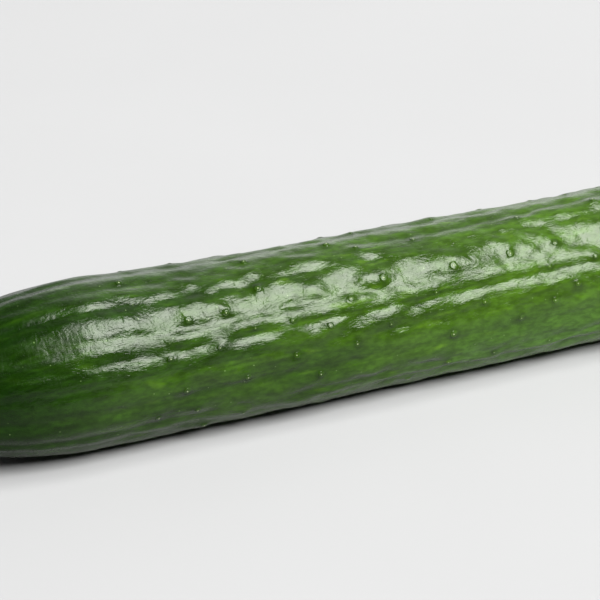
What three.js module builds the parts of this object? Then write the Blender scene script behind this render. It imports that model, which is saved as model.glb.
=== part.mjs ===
// A long slicing cucumber lying on its side, with a short cut stem stub, as one solid.
// Millimetres, +Z up. The fruit runs along X from its stem end (-X) to its blossom end (+X)
// and rests on Z = 0. A place on the skin is a station, measured along the centre line from the
// foot of the stub, and an angle round it that follows the ribs and starts in a deep furrow.
// A true angle starts at the side that faces +Y, and is 90 degrees on top.

import * as THREE from 'three';

// Length and bend of the fruit
const FRUIT_LENGTH = 330;
const STUB_LENGTH = 9;
const BEND_RADIUS = 9000;
const MIDDLE = FRUIT_LENGTH / 2;

// Half-thickness of the fruit at stations along it: stub, neck, shoulder, long body
const PROFILE = [
  [-9, 3.8], [-5, 3.5], [0, 5.2], [5, 9.0], [12, 13.2], [22, 17.2], [34, 19.9], [48, 22.5],
  [62, 23.5], [80, 23.0], [105, 22.7], [133, 22.5], [165, 22.2], [200, 22.1], [240, 22.3], [330, 21.9],
];
const SHOULDER = 62;
const BLOSSOM_ROUNDING = 48;
const BLOSSOM_POWER = 3;
const SCAR_SINK = 0.9;

// How the fruit beds on the surface it lies on
const BED_DEPTH = 0.4;
const UNDERSIDE = 270;
const REST_STATION = 160;
const REST_HALF_LENGTH = 16;
const REST_HALF_WIDTH = 9;
const REST_FADE = { from: 2 / 3, to: 4 / 3 };

// Three blunt lobes in the cross-section, one of them along the top
const LOBE_COUNT = 3;
const LOBE_HEIGHT = 0.25;
const LOBE_TOP = 88;

// Low ribs from end to end, some broader than others. They turn slowly round the fruit and waver.
// The furrows between them come and go along it, and every other one is a little shallower.
const RIB_COUNT = 20;
const RIB_PITCH = 360 / RIB_COUNT;
const RIB_START = 7.3;
const RIB_TWIST = -0.032;
const RIB_WAVER = { turn: 1, length: 19, drift: 31 };
const RIB_SHIFT = { turn: 4.6, seed: 2049665575 };
const FURROW_DEPTH = 0.64;
const SHALLOW_SHARE = 0.92;
const FURROW_WIDTH = 0.24;
const FURROW_CHANGE = { seed: 3103531063, pitch: 26, steady: 0.6 };
const FURROWS_FROM = 8;
const FURROWS_RISE = 30;

// Ridges of the stub, running out over its foot
const STUB_RIDGES = { count: 5, height: 0.25, from: -3, to: 5 };

// Low swellings of the skin: broad ones, and lumps drawn out along the fruit. Each kind is a sum of
// waves with seeded lengths: so many times round the fruit, crossed with a length along it.
const SWELLINGS = [
  { seed: 31, waves: 10, around: [2, 7], along: [45, 110], height: 0.11 },
  { seed: 47, waves: 24, around: [8, 16], along: [16, 40], height: 0.045 },
];
const SWELLINGS_FROM = 30;
const SWELLINGS_FULL = 115;
const SWELLINGS_NECK_SHARE = 0.25;

// Warts: thrown one after another into the cells of the skin's net, each on a low mound with a
// faint hollow round it, and none nearer to another than the spacing. On a narrow rib they are smaller.
const COLUMNS = 2 * RIB_COUNT;
const COLUMN_STEP = 360 / COLUMNS;
const ROW_PITCH = 3.6;
const WARTS_FROM = 72;
const WART_ROWS = 63;
const WART_COUNT = 140;
const WART_SEED = 50855467;
const WART_SPACING = 8;
const WART_SIZES = { smallest: 0.75, spread: 0.35 };
const WART_JITTER = 0.3;
const WART_RADIUS = 1;
const WART_HEIGHT = 0.32;
const WART_SIDES = 6;
const BROW = { reach: 0.7, height: 0.8 };
const MOUND_RADIUS = 2.6;
const MOUND_HEIGHT = 0.22;
const MOUND_REACH = 3 * MOUND_RADIUS;

// How soon the relief starts after the stub, and how late it dies out at the blossom end
const RELIEF_FROM = -2;
const RELIEF_RISE = 16;
const RELIEF_FADE = 10;

// Rings of points round the fruit, close together where the outline turns quickly
const STEM_RINGS = [-STUB_LENGTH, -5, -1.5, 1, 3.5, 7, 11, 16, 21, 26.5];
const NECK_RINGS_FROM = 32;
const NECK_RING_PITCH = 4;
const CAP_RINGS = 8;

const DEGREE = Math.PI / 180;
const clamp01 = (x) => Math.min(Math.max(x, 0), 1);
const smooth = (x) => clamp01(x) ** 2 * (3 - 2 * clamp01(x));

// Repeatable draws between 0 and 1
function seededDraws(seed) {
  let state = seed;
  return () => {
    state = (state + 0x6d2b79f5) | 0;
    let bits = Math.imul(state ^ (state >>> 15), 1 | state);
    bits = (bits + Math.imul(bits ^ (bits >>> 7), 61 | bits)) ^ bits;
    return ((bits ^ (bits >>> 14)) >>> 0) / 4294967296;
  };
}

// A fixed draw between -1 and 1 for each corner of a net
function cornerDraw(i, j, seed) {
  let bits = Math.imul(i, 374761393) ^ Math.imul(j, 668265263) ^ Math.imul(seed, 1274126177);
  bits = Math.imul(bits ^ (bits >>> 13), 1103515245);
  bits = Math.imul(bits ^ (bits >>> 16), 2246822519);
  return ((bits ^ (bits >>> 15)) >>> 0) / 2147483648 - 1;
}

// Smooth change along a row of corners, from the draw at one to the draw at the next
function changeAlong(place, drawAt) {
  const corner = Math.floor(place);
  const from = drawAt(corner);
  return from + (drawAt(corner + 1) - from) * smooth(place - corner);
}

// Number of a furrow, counted on round the fruit
const furrowNumber = (count) => ((count % RIB_COUNT) + RIB_COUNT) % RIB_COUNT;

// Smooth curve through the profile's points, with no overshoot between them
function profileRadius(station) {
  const last = PROFILE.length - 1;
  const slopes = [];
  for (let k = 0; k < last; k += 1) {
    slopes.push((PROFILE[k + 1][1] - PROFILE[k][1]) / (PROFILE[k + 1][0] - PROFILE[k][0]));
  }
  const tangent = (k) => {
    if (k === 0) return slopes[0];
    if (k === last) return slopes[last - 1];
    const product = slopes[k - 1] * slopes[k];
    return product <= 0 ? 0 : (2 * product) / (slopes[k - 1] + slopes[k]);
  };
  let k = 0;
  while (k < last - 1 && station > PROFILE[k + 1][0]) k += 1;
  const span = PROFILE[k + 1][0] - PROFILE[k][0];
  const t = clamp01((station - PROFILE[k][0]) / span);
  const rise = PROFILE[k + 1][1] - PROFILE[k][1];
  const shape = t * t * (3 - 2 * t);
  const start = t * (1 - t) ** 2 * span * tangent(k);
  const end = t * t * (t - 1) * span * tangent(k + 1);
  return PROFILE[k][1] + rise * shape + start + end;
}

// Half-thickness with the blossom end rounded off
function bodyRadius(station) {
  const t = clamp01((station - FRUIT_LENGTH + BLOSSOM_ROUNDING) / BLOSSOM_ROUNDING);
  return profileRadius(station) * Math.sqrt(1 - t ** BLOSSOM_POWER);
}

// Centre line: a slow bend towards +Y at both ends, as high as the fruit is thick
function centreLine(station) {
  const heading = (station - MIDDLE) / BEND_RADIUS;
  const rise = BEND_RADIUS * (1 - Math.cos(heading));
  const endRise = BEND_RADIUS * (1 - Math.cos(MIDDLE / BEND_RADIUS));
  const bearing = Math.min(Math.max(station, SHOULDER), FRUIT_LENGTH - BLOSSOM_ROUNDING);
  return {
    heading,
    x: BEND_RADIUS * Math.sin(heading) + STUB_LENGTH / 2,
    y: rise - endRise / 2,
    z: bodyRadius(bearing) - BED_DEPTH,
  };
}

// Signed angle from b to a, in degrees
const turnBetween = (a, b) => ((((a - b + 180) % 360) + 360) % 360) - 180;

// True angle of a place whose angle follows the breadth, the twist and the waver of the ribs
function trueAngle(station, angle) {
  const drawAt = (count) => cornerDraw(furrowNumber(count), 0, RIB_SHIFT.seed);
  const shift = RIB_SHIFT.turn * changeAlong(angle / RIB_PITCH, drawAt);
  const sway = Math.cos(LOBE_COUNT * angle * DEGREE + station / RIB_WAVER.drift);
  const waver = RIB_WAVER.turn * Math.sin(station / RIB_WAVER.length) * sway;
  return RIB_START + angle + RIB_TWIST * (station - SHOULDER) + shift + waver;
}

function furrowRelief(station, angle) {
  const place = angle / RIB_PITCH;
  const nearest = Math.round(place);
  const furrow = furrowNumber(nearest);
  const depth = FURROW_DEPTH * (furrow % 2 === 0 ? 1 : SHALLOW_SHARE);
  const drawAt = (corner) => cornerDraw(corner, furrow, FURROW_CHANGE.seed);
  const change = changeAlong(station / FURROW_CHANGE.pitch, drawAt);
  const strength = FURROW_CHANGE.steady + (1 - FURROW_CHANGE.steady) * change;
  const rise = smooth((station - FURROWS_FROM) / FURROWS_RISE);
  const across = (place - nearest) / FURROW_WIDTH;
  return -depth * strength * rise * Math.exp(-(across ** 2));
}

function drawWaves() {
  const waves = [];
  for (const kind of SWELLINGS) {
    const draw = seededDraws(kind.seed);
    const between = ([low, high]) => low + (high - low) * draw();
    for (let n = 0; n < kind.waves; n += 1) {
      const around = Math.round(between(kind.around));
      const along = between(kind.along);
      waves.push({ around, along, turnStart: draw(), runStart: draw(), height: kind.height });
    }
  }
  return waves;
}
const waves = drawWaves();

function swellingRelief(station, turned) {
  const body = smooth((station - SWELLINGS_FROM) / (SWELLINGS_FULL - SWELLINGS_FROM));
  const share = SWELLINGS_NECK_SHARE + (1 - SWELLINGS_NECK_SHARE) * body;
  let relief = 0;
  for (const wave of waves) {
    const across = Math.cos(2 * Math.PI * ((wave.around * turned) / 360 + wave.turnStart));
    const run = Math.cos(2 * Math.PI * (station / wave.along + wave.runStart));
    relief += wave.height * across * run;
  }
  return relief * share;
}

// `stretch` is how much the true angle grows for each degree that follows the ribs
function throwWarts() {
  const draw = seededDraws(WART_SEED);
  const warts = [];
  while (warts.length < WART_COUNT) {
    const row = Math.floor(draw() * WART_ROWS);
    const column = Math.floor(draw() * COLUMNS);
    const fullSize = WART_SIZES.smallest + WART_SIZES.spread * draw();
    const station = WARTS_FROM + (row + 0.5) * ROW_PITCH + WART_JITTER * (2 * draw() - 1);
    const offset = WART_JITTER * (2 * draw() - 1);
    const radius = bodyRadius(station);
    const angle = (column + 0.5) * COLUMN_STEP + offset / radius / DEGREE;
    const near = warts.some((other) => {
      const around = turnBetween(angle, other.angle) * DEGREE * radius;
      return Math.hypot(station - other.station, around) < WART_SPACING;
    });
    if (near) continue;
    const stretch = (trueAngle(station, angle + 1) - trueAngle(station, angle - 1)) / 2;
    const size = fullSize * Math.min(1, stretch);
    warts.push({ row, column, size, station, angle, turned: trueAngle(station, angle), stretch });
  }
  return warts;
}
const warts = throwWarts();

// Mounds under the warts, each with its hollow round it
function moundRelief(station, turned) {
  const radius = bodyRadius(station);
  let relief = 0;
  for (const wart of warts) {
    const along = station - wart.station;
    if (Math.abs(along) > MOUND_REACH) continue;
    const around = turnBetween(turned, wart.turned) * DEGREE * radius;
    const reach = (along ** 2 + around ** 2) / MOUND_RADIUS ** 2;
    relief += MOUND_HEIGHT * wart.size * (1 - reach) * Math.exp(-reach);
  }
  return relief;
}

// Share of the relief kept near the ends and over the small flat spot that the fruit rests on
function reliefShare(station, turned) {
  const stem = smooth((station - RELIEF_FROM) / RELIEF_RISE);
  const blossom = smooth((FRUIT_LENGTH - station) / RELIEF_FADE);
  const along = (station - REST_STATION) / REST_HALF_LENGTH;
  const across = (turnBetween(turned, UNDERSIDE) * DEGREE * bodyRadius(station)) / REST_HALF_WIDTH;
  const spot = smooth((REST_FADE.to - Math.hypot(along, across)) / (REST_FADE.to - REST_FADE.from));
  return stem * blossom * (1 - spot);
}

// Height of the skin above the plain round form, without its warts
function skinRelief(station, angle) {
  const turned = trueAngle(station, angle);
  const lobes = LOBE_HEIGHT * Math.cos(LOBE_COUNT * (turned - LOBE_TOP) * DEGREE);
  const fine = furrowRelief(station, angle) + swellingRelief(station, turned) + moundRelief(station, turned);
  const stub = STUB_RIDGES.height * smooth((STUB_RIDGES.to - station) / (STUB_RIDGES.to - STUB_RIDGES.from));
  const ridges = stub * Math.cos(STUB_RIDGES.count * angle * DEGREE);
  return (lobes + fine) * reliefShare(station, turned) + ridges;
}

// Point of the skin at a station and an angle, raised by `above`; the underside is flat at Z = 0
function skinPoint(station, angle, above = 0) {
  const centre = centreLine(station);
  const reach = bodyRadius(station) + skinRelief(station, angle) + above;
  const turned = trueAngle(station, angle) * DEGREE;
  const out = Math.cos(turned) * reach;
  return new THREE.Vector3(
    centre.x - Math.sin(centre.heading) * out,
    centre.y + Math.cos(centre.heading) * out,
    Math.max(centre.z + Math.sin(turned) * reach, 0),
  );
}

function ringStations() {
  const stations = [...STEM_RINGS];
  for (let station = NECK_RINGS_FROM; station < WARTS_FROM; station += NECK_RING_PITCH) {
    stations.push(station);
  }
  const firstWartRing = stations.length;
  for (let row = 0; row < WART_ROWS; row += 1) stations.push(WARTS_FROM + row * ROW_PITCH);
  const wartsTo = WARTS_FROM + WART_ROWS * ROW_PITCH;
  for (let ring = 0; ring < CAP_RINGS; ring += 1) {
    const turn = (ring / CAP_RINGS) * (Math.PI / 2);
    stations.push(wartsTo + (FRUIT_LENGTH - wartsTo) * Math.sin(turn));
  }
  return { stations, firstWartRing };
}

function cucumberGeometry() {
  const { stations, firstWartRing } = ringStations();
  const wartOfCell = new Map(warts.map((wart) => [`${firstWartRing + wart.row},${wart.column}`, wart]));
  const points = [];
  const faces = [];
  const addPoint = (point) => points.push(point) - 1;
  for (const station of stations) {
    for (let column = 0; column < COLUMNS; column += 1) {
      addPoint(skinPoint(station, column * COLUMN_STEP));
    }
  }
  const vertex = (ring, column) => ring * COLUMNS + (column % COLUMNS);

  // A wart fills its cell: a collar down to the four corners, a flank, and a blunt tip
  const addWart = (ring, column, wart) => {
    const radius = bodyRadius(wart.station) * wart.stretch;
    const flat = (station, angle) => new THREE.Vector2(
      station - wart.station,
      turnBetween(angle, wart.angle) * DEGREE * radius,
    );
    const corners = [[0, 0], [0, 1], [1, 1], [1, 0]].map(([a, b]) => ({
      index: vertex(ring + a, column + b),
      flat: flat(stations[ring + a], (column + b) * COLUMN_STEP),
    }));
    const wartRing = (reach, above) => Array.from({ length: WART_SIDES }, (_, side) => {
      const turn = ((side + 0.5) / WART_SIDES) * 2 * Math.PI;
      const place = new THREE.Vector2(Math.cos(turn) * reach, -Math.sin(turn) * reach);
      const point = skinPoint(wart.station + place.x, wart.angle + place.y / radius / DEGREE, above);
      return { index: addPoint(point), flat: place };
    });
    const foot = wartRing(WART_RADIUS * wart.size, 0);
    const brow = wartRing(WART_RADIUS * wart.size * BROW.reach, WART_HEIGHT * wart.size * BROW.height);
    const tip = addPoint(skinPoint(wart.station, wart.angle, WART_HEIGHT * wart.size));
    const collar = [...corners, ...foot];
    const triangles = THREE.ShapeUtils.triangulateShape(
      corners.map((corner) => corner.flat),
      [foot.map((point) => point.flat)],
    );
    for (const [a, b, c] of triangles) {
      const [p, q, r] = [collar[a], collar[b], collar[c]];
      const turn = q.flat.clone().sub(p.flat).cross(r.flat.clone().sub(p.flat));
      faces.push(turn < 0 ? [p.index, q.index, r.index] : [p.index, r.index, q.index]);
    }
    for (let side = 0; side < WART_SIDES; side += 1) {
      const next = (side + 1) % WART_SIDES;
      faces.push([foot[side].index, foot[next].index, brow[next].index]);
      faces.push([foot[side].index, brow[next].index, brow[side].index]);
      faces.push([brow[side].index, brow[next].index, tip]);
    }
  };

  // A plain cell is split along the diagonal whose middle lies nearer to the true skin
  const addCell = (ring, column) => {
    const [a, b] = [vertex(ring, column), vertex(ring, column + 1)];
    const [c, d] = [vertex(ring + 1, column + 1), vertex(ring + 1, column)];
    const station = (stations[ring] + stations[ring + 1]) / 2;
    const middle = skinPoint(station, (column + 0.5) * COLUMN_STEP);
    const gap = (p, q) => points[p].clone().lerp(points[q], 0.5).distanceTo(middle);
    if (gap(a, c) < gap(b, d)) faces.push([a, b, c], [a, c, d]);
    else faces.push([a, b, d], [b, c, d]);
  };

  for (let ring = 0; ring < stations.length - 1; ring += 1) {
    for (let column = 0; column < COLUMNS; column += 1) {
      const wart = wartOfCell.get(`${ring},${column}`);
      if (wart) addWart(ring, column, wart);
      else addCell(ring, column);
    }
  }

  // The cut face of the stub, and the sunk scar where the blossom dropped off
  const stubCentre = centreLine(-STUB_LENGTH);
  const scarCentre = centreLine(FRUIT_LENGTH - SCAR_SINK);
  const cutMiddle = addPoint(new THREE.Vector3(stubCentre.x, stubCentre.y, stubCentre.z));
  const scarMiddle = addPoint(new THREE.Vector3(scarCentre.x, scarCentre.y, scarCentre.z));
  for (let column = 0; column < COLUMNS; column += 1) {
    const last = stations.length - 1;
    faces.push([vertex(0, column + 1), vertex(0, column), cutMiddle]);
    faces.push([vertex(last, column), vertex(last, column + 1), scarMiddle]);
  }

  const geometry = new THREE.BufferGeometry().setFromPoints(points);
  geometry.setIndex(faces.flat());
  geometry.computeVertexNormals();
  return geometry;
}

const skin = new THREE.MeshStandardMaterial({ color: 0x2f6215, roughness: 0.3, metalness: 0 });
const cucumber = new THREE.Mesh(cucumberGeometry(), skin);
cucumber.name = 'cucumber';

const part = new THREE.Group();
part.add(cucumber);

export default part;
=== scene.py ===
"""A long slicing cucumber lying on its side: ribbed warty skin under wax, cut stem, blossom scar.

Lengths in the classes are millimetres, as on the fruit; meshes are made in metres. A place on
the skin is a station, measured along the centre line from the foot of the stem, and an angle
round it in degrees that follows the ribs and starts in a deep furrow. A true angle starts at
the side that faces +Y, and is 90 on top.
"""

import logging
import math
from collections.abc import Iterator
from dataclasses import dataclass, field
from enum import Enum

import bpy
import numpy as np
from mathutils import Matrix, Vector


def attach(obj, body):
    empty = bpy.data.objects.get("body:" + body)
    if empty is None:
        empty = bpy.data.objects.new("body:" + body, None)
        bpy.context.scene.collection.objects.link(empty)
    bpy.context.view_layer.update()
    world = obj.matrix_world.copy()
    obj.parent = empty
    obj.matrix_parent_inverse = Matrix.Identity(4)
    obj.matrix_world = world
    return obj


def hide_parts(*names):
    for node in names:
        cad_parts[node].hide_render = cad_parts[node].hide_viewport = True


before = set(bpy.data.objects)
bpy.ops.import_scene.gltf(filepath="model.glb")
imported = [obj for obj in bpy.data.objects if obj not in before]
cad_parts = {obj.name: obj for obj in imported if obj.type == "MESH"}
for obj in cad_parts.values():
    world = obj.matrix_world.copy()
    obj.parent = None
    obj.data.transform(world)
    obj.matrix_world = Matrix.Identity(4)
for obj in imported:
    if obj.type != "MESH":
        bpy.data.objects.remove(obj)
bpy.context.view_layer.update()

LOG = logging.getLogger("cucumber")
MM = 0.001
BODY = "root"
NODE = "cucumber"
# The largest whole number of 32 bits
WORD = 0xFFFFFFFF
# True angle of the line that faces the floor
UNDERSIDE = 270.0
# Sockets of a node that lays one colour over another
SHARE, UNDER, OVER, MIXED = 0, 6, 7, 2
# Faces of a mesh, each with the numbers of its vertices
Faces = list[tuple[int, ...]]


class Slot(Enum):
    """Material slots of the record, one for each finish of the fruit."""

    SKIN = "skin"
    WART_TIP = "wart_tip"
    CUT_STEM = "cut_stem"
    BLOSSOM_SCAR = "blossom_scar"


def smooth(x: np.ndarray) -> np.ndarray:
    """Gives a soft step that goes from 0 to 1 while x does."""
    t = np.clip(x, 0.0, 1.0)
    return t * t * (3.0 - 2.0 * t)


def turn_between(a: float | np.ndarray, b: float | np.ndarray) -> float | np.ndarray:
    """Gives the signed angle from b to a in degrees."""
    return (a - b + 180.0) % 360.0 - 180.0


class SeededDraws:
    """Repeatable draws between 0 and 1. The odd numbers and shifts only scatter their 32 bits."""

    def __init__(self, seed: int) -> None:
        """Starts the draws.

        Args:
            seed: whole number that the draws follow from.
        """
        self.state = seed

    def __call__(self) -> float:
        """Gives the next draw.

        Returns:
            A number from 0 up to 1.
        """
        self.state = (self.state + 0x6D2B79F5) & WORD
        bits = ((self.state ^ (self.state >> 15)) * (1 | self.state)) & WORD
        bits = ((bits + (((bits ^ (bits >> 7)) * (61 | bits)) & WORD)) & WORD) ^ bits
        return (bits ^ (bits >> 14)) / 2**32

    def between(self, low: float, high: float) -> float:
        """Gives the next draw, spread from low to high."""
        return low + (high - low) * self()


def corner_draw(i: np.ndarray, j: np.ndarray, seed: int) -> np.ndarray:
    """Gives a fixed draw between -1 and 1 for each corner of a net.

    The large odd factors and the shifts only scatter the bits, so that neighbours differ.

    Args:
        i: whole numbers of the corners along the net.
        j: whole numbers of the corners across it.
        seed: whole number of the net.

    Returns:
        One draw for each pair of i and j.
    """
    mask = np.uint64(WORD)
    first = i.astype(np.int64).astype(np.uint64) * np.uint64(374761393)
    second = j.astype(np.int64).astype(np.uint64) * np.uint64(668265263)
    third = np.uint64((seed * 1274126177) & WORD)
    bits = (first ^ second ^ third) & mask
    bits = ((bits ^ (bits >> np.uint64(13))) * np.uint64(1103515245)) & mask
    bits = ((bits ^ (bits >> np.uint64(16))) * np.uint64(2246822519)) & mask
    return (bits ^ (bits >> np.uint64(15))).astype(float) / 2**31 - 1.0


def corner_change(place: np.ndarray, j: np.ndarray, seed: int, period: int = 0) -> np.ndarray:
    """Gives a change between -1 and 1 that runs smoothly along a net, from corner to corner.

    Args:
        place: places along the net, in cells.
        j: whole numbers of the corners across it.
        seed: whole number of the net.
        period: cells after which the net closes on itself; 0 for an open net.

    Returns:
        The change at each place.
    """
    cell = np.floor(place)
    after = cell + 1
    share = smooth(place - cell)
    if period:
        cell, after = cell % period, after % period
    start = corner_draw(cell, j, seed)
    return start + (corner_draw(after, j, seed) - start) * share


@dataclass(frozen=True)
class Swelling:
    """One kind of low swelling of the skin: a sum of waves crossed round and along the fruit."""

    seed: int
    waves: int
    around: tuple[int, int]
    along: tuple[float, float]
    height: float

    def relief(self, station: np.ndarray, angle: np.ndarray) -> np.ndarray:
        """Gives the height of the swelling.

        Args:
            station: places along the fruit.
            angle: places round it.

        Returns:
            Height in mm at each place.
        """
        draw = SeededDraws(self.seed)
        total = np.zeros_like(station)
        for _ in range(self.waves):
            times_round = math.floor(draw.between(*self.around) + 0.5)
            wavelength = draw.between(*self.along)
            turn_start = draw()
            run_start = draw()
            across = np.cos(2 * math.pi * (times_round * angle / 360.0 + turn_start))
            run = np.cos(2 * math.pi * (station / wavelength + run_start))
            total += self.height * across * run
        return total


@dataclass(frozen=True)
class Wart:
    """One wart: its cell of the skin's net, its size and its place.

    The true angle grows by `stretch` for each degree that follows the ribs.
    """

    row: int
    column: int
    size: float
    station: float
    angle: float
    turned: float
    stretch: float


@dataclass(frozen=True)
class FruitForm:
    """The grown form of the fruit, which the CAD solid has too, with a fine layer on top."""

    # Length without the stub, the bend, and the half-thickness at stations along the fruit
    length: float = 330.0
    stub: float = 9.0
    bend_radius: float = 9000.0
    profile: tuple[tuple[float, float], ...] = (
        (-9, 3.8), (-5, 3.5), (0, 5.2), (5, 9.0), (12, 13.2), (22, 17.2), (34, 19.9), (48, 22.5),
        (62, 23.5), (80, 23.0), (105, 22.7), (133, 22.5), (165, 22.2), (200, 22.1), (240, 22.3),
        (330, 21.9),
    )
    shoulder: float = 62.0
    blossom_rounding: float = 48.0
    blossom_power: float = 3.0
    # The flat spot that the fruit lies on, and how far its skin gives there
    bed_depth: float = 0.4
    rest_station: float = 160.0
    rest_half_length: float = 16.0
    rest_half_width: float = 9.0
    rest_fade: tuple[float, float] = (2 / 3, 4 / 3)
    # Broad lobes
    lobe_count: int = 3
    lobe_height: float = 0.25
    lobe_top: float = 88.0
    # Ribs: where they start, twist, waver and stand apart, in degrees and mm
    rib_count: int = 20
    rib_start: float = 7.3
    rib_twist: float = -0.032
    rib_waver: float = 1.0
    waver_length: float = 19.0
    waver_drift: float = 31.0
    rib_shift: float = 4.6
    shift_seed: int = 2049665575
    # Furrows between them, each with a crease along its bottom; widths are shares of a rib
    furrow_depth: float = 0.64
    shallow_share: float = 0.92
    furrow_width: float = 0.24
    crease_depth: float = 0.035
    crease_width: float = 0.1
    furrow_seed: int = 3103531063
    furrow_run: float = 26.0
    furrow_steady: float = 0.6
    furrows_from: float = 8.0
    furrows_rise: float = 30.0
    # Lumps and hollows, from broad to fine
    swellings: tuple[Swelling, ...] = (
        Swelling(seed=31, waves=10, around=(2, 7), along=(45, 110), height=0.11),
        Swelling(seed=47, waves=24, around=(8, 16), along=(13, 34), height=0.05),
        Swelling(seed=71, waves=48, around=(12, 32), along=(7, 22), height=0.024),
    )
    swellings_from: float = 30.0
    swellings_full: float = 115.0
    swellings_neck_share: float = 0.25
    # Warts, thrown into cells of the skin's net, and the mounds that carry them
    row_pitch: float = 3.6
    warts_from: float = 72.0
    wart_rows: int = 63
    wart_count: int = 140
    wart_seed: int = 50855467
    wart_spacing: float = 8.0
    wart_sizes: tuple[float, float] = (0.75, 1.1)
    wart_jitter: float = 0.3
    wart_radius: float = 0.95
    wart_height: float = 0.15
    mound_radius: float = 2.6
    mound_height: float = 0.23
    # Widths of a soft bump beyond which it counts as nothing
    bump_reach: float = 3.0
    # How the relief fades at both ends, and the ridges of the stub
    relief_from: float = -2.0
    relief_rise: float = 16.0
    relief_fade: float = 10.0
    stub_ridges: int = 5
    stub_ridge_height: float = 0.25
    stub_ridge_fade: tuple[float, float] = (-3.0, 5.0)
    # Short creases across the ribs; shift, slant and bow are shares of their pitch
    joint_pitch: float = 9.0
    joint_depth: float = 0.13
    joint_width: float = 0.85
    joint_start: float = 0.5
    joint_shift: float = 0.28
    joint_slant: float = 0.3
    joint_bow: float = 0.8
    joint_strength: float = 0.55
    joint_seed: int = 91
    warts: tuple[Wart, ...] = field(init=False)

    def __post_init__(self) -> None:
        """Throws the warts once the sizes are set."""
        object.__setattr__(self, "warts", self.throw_warts())

    @property
    def rib_pitch(self) -> float:
        """Angle from one rib to the next."""
        return 360.0 / self.rib_count

    @property
    def columns(self) -> int:
        """Columns of the skin's net: one on each rib and one in each furrow."""
        return 2 * self.rib_count

    @property
    def column_step(self) -> float:
        """Angle from one column of the net to the next."""
        return 360.0 / self.columns

    def body_radius(self, station: np.ndarray) -> np.ndarray:
        """Gives the half-thickness, a smooth curve through the profile with a rounded blossom end.

        Args:
            station: places along the fruit.

        Returns:
            Half-thickness in mm at each place.
        """
        knots, radii = np.array(self.profile, float).T
        slopes = np.diff(radii) / np.diff(knots)
        product = slopes[:-1] * slopes[1:]
        total = slopes[:-1] + slopes[1:]
        inner = np.where(product > 0, 2 * product / np.where(total == 0, 1, total), 0.0)
        tangent = np.concatenate([slopes[:1], inner, slopes[-1:]])
        k = np.clip(np.searchsorted(knots, station) - 1, 0, len(knots) - 2)
        span = knots[k + 1] - knots[k]
        t = np.clip((station - knots[k]) / span, 0.0, 1.0)
        radius = radii[k] + (radii[k + 1] - radii[k]) * t * t * (3 - 2 * t)
        radius += t * (1 - t) ** 2 * span * tangent[k] + t * t * (t - 1) * span * tangent[k + 1]
        cap = np.clip((station - self.length + self.blossom_rounding) / self.blossom_rounding, 0, 1)
        return radius * np.sqrt(1 - cap**self.blossom_power)

    def radius_at(self, station: float) -> float:
        """Gives the half-thickness in mm at one station."""
        return float(self.body_radius(np.array(station)))

    def centre_line(self, station: np.ndarray) -> tuple[np.ndarray, ...]:
        """Gives the centre line: a slow bend towards +Y at both ends, lying on the floor.

        Args:
            station: places along the fruit.

        Returns:
            Heading in radians, then x, y and z in mm, at each place.
        """
        middle = self.length / 2
        heading = (station - middle) / self.bend_radius
        rise = self.bend_radius * (1 - np.cos(heading))
        end_rise = self.bend_radius * (1 - math.cos(middle / self.bend_radius))
        x = self.bend_radius * np.sin(heading) + self.stub / 2
        bearing = np.clip(station, self.shoulder, self.length - self.blossom_rounding)
        return heading, x, rise - end_rise / 2, self.body_radius(bearing) - self.bed_depth

    def true_angle(self, station: np.ndarray, angle: np.ndarray) -> np.ndarray:
        """Gives the angle round the centre line of a place on the net, which wavers with the ribs.

        Args:
            station: places along the fruit.
            angle: places round it, following the ribs.

        Returns:
            Angle in degrees from +Y at each place.
        """
        place = angle / self.rib_pitch
        shift = self.rib_shift * corner_change(place, np.zeros_like(place), self.shift_seed, self.rib_count)
        sway = np.cos(self.lobe_count * np.radians(angle) + station / self.waver_drift)
        waver = self.rib_waver * np.sin(station / self.waver_length) * sway
        return self.rib_start + angle + self.rib_twist * (station - self.shoulder) + shift + waver

    def furrow_strength(self, station: np.ndarray, furrow: np.ndarray) -> np.ndarray:
        """Gives how strong a furrow is: each comes and goes along the fruit, every other is shallow.

        Args:
            station: places along the fruit.
            furrow: number of the furrow at each place.

        Returns:
            Share of the deepest furrow at each place.
        """
        change = corner_change(station / self.furrow_run, furrow, self.furrow_seed)
        steady = self.furrow_steady + (1 - self.furrow_steady) * change
        rise = smooth((station - self.furrows_from) / self.furrows_rise)
        return rise * steady * np.where(furrow % 2 == 0, 1.0, self.shallow_share)

    def furrow_relief(self, station: np.ndarray, angle: np.ndarray) -> np.ndarray:
        """Gives the depth of the furrows between the ribs, with a crease along each bottom.

        Args:
            station: places along the fruit.
            angle: places round it, following the ribs.

        Returns:
            Height in mm at each place, zero or less.
        """
        place = angle / self.rib_pitch
        nearest = np.floor(place + 0.5)
        strength = self.furrow_strength(station, nearest % self.rib_count)
        offset = place - nearest
        wide = self.furrow_depth * np.exp(-((offset / self.furrow_width) ** 2))
        crease = self.crease_depth * np.exp(-((offset / self.crease_width) ** 2))
        return -strength * (wide + crease)

    def body_share(self, station: np.ndarray) -> np.ndarray:
        """Gives how far the lumps of the body have set in, from 0 on the neck to 1."""
        return smooth((station - self.swellings_from) / (self.swellings_full - self.swellings_from))

    def swelling_relief(self, station: np.ndarray, angle: np.ndarray) -> np.ndarray:
        """Gives the height of the lumps and hollows, low on the neck and full on the body.

        Args:
            station: places along the fruit.
            angle: places round it.

        Returns:
            Height in mm at each place.
        """
        share = self.swellings_neck_share + (1 - self.swellings_neck_share) * self.body_share(station)
        return share * sum(kind.relief(station, angle) for kind in self.swellings)

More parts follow.
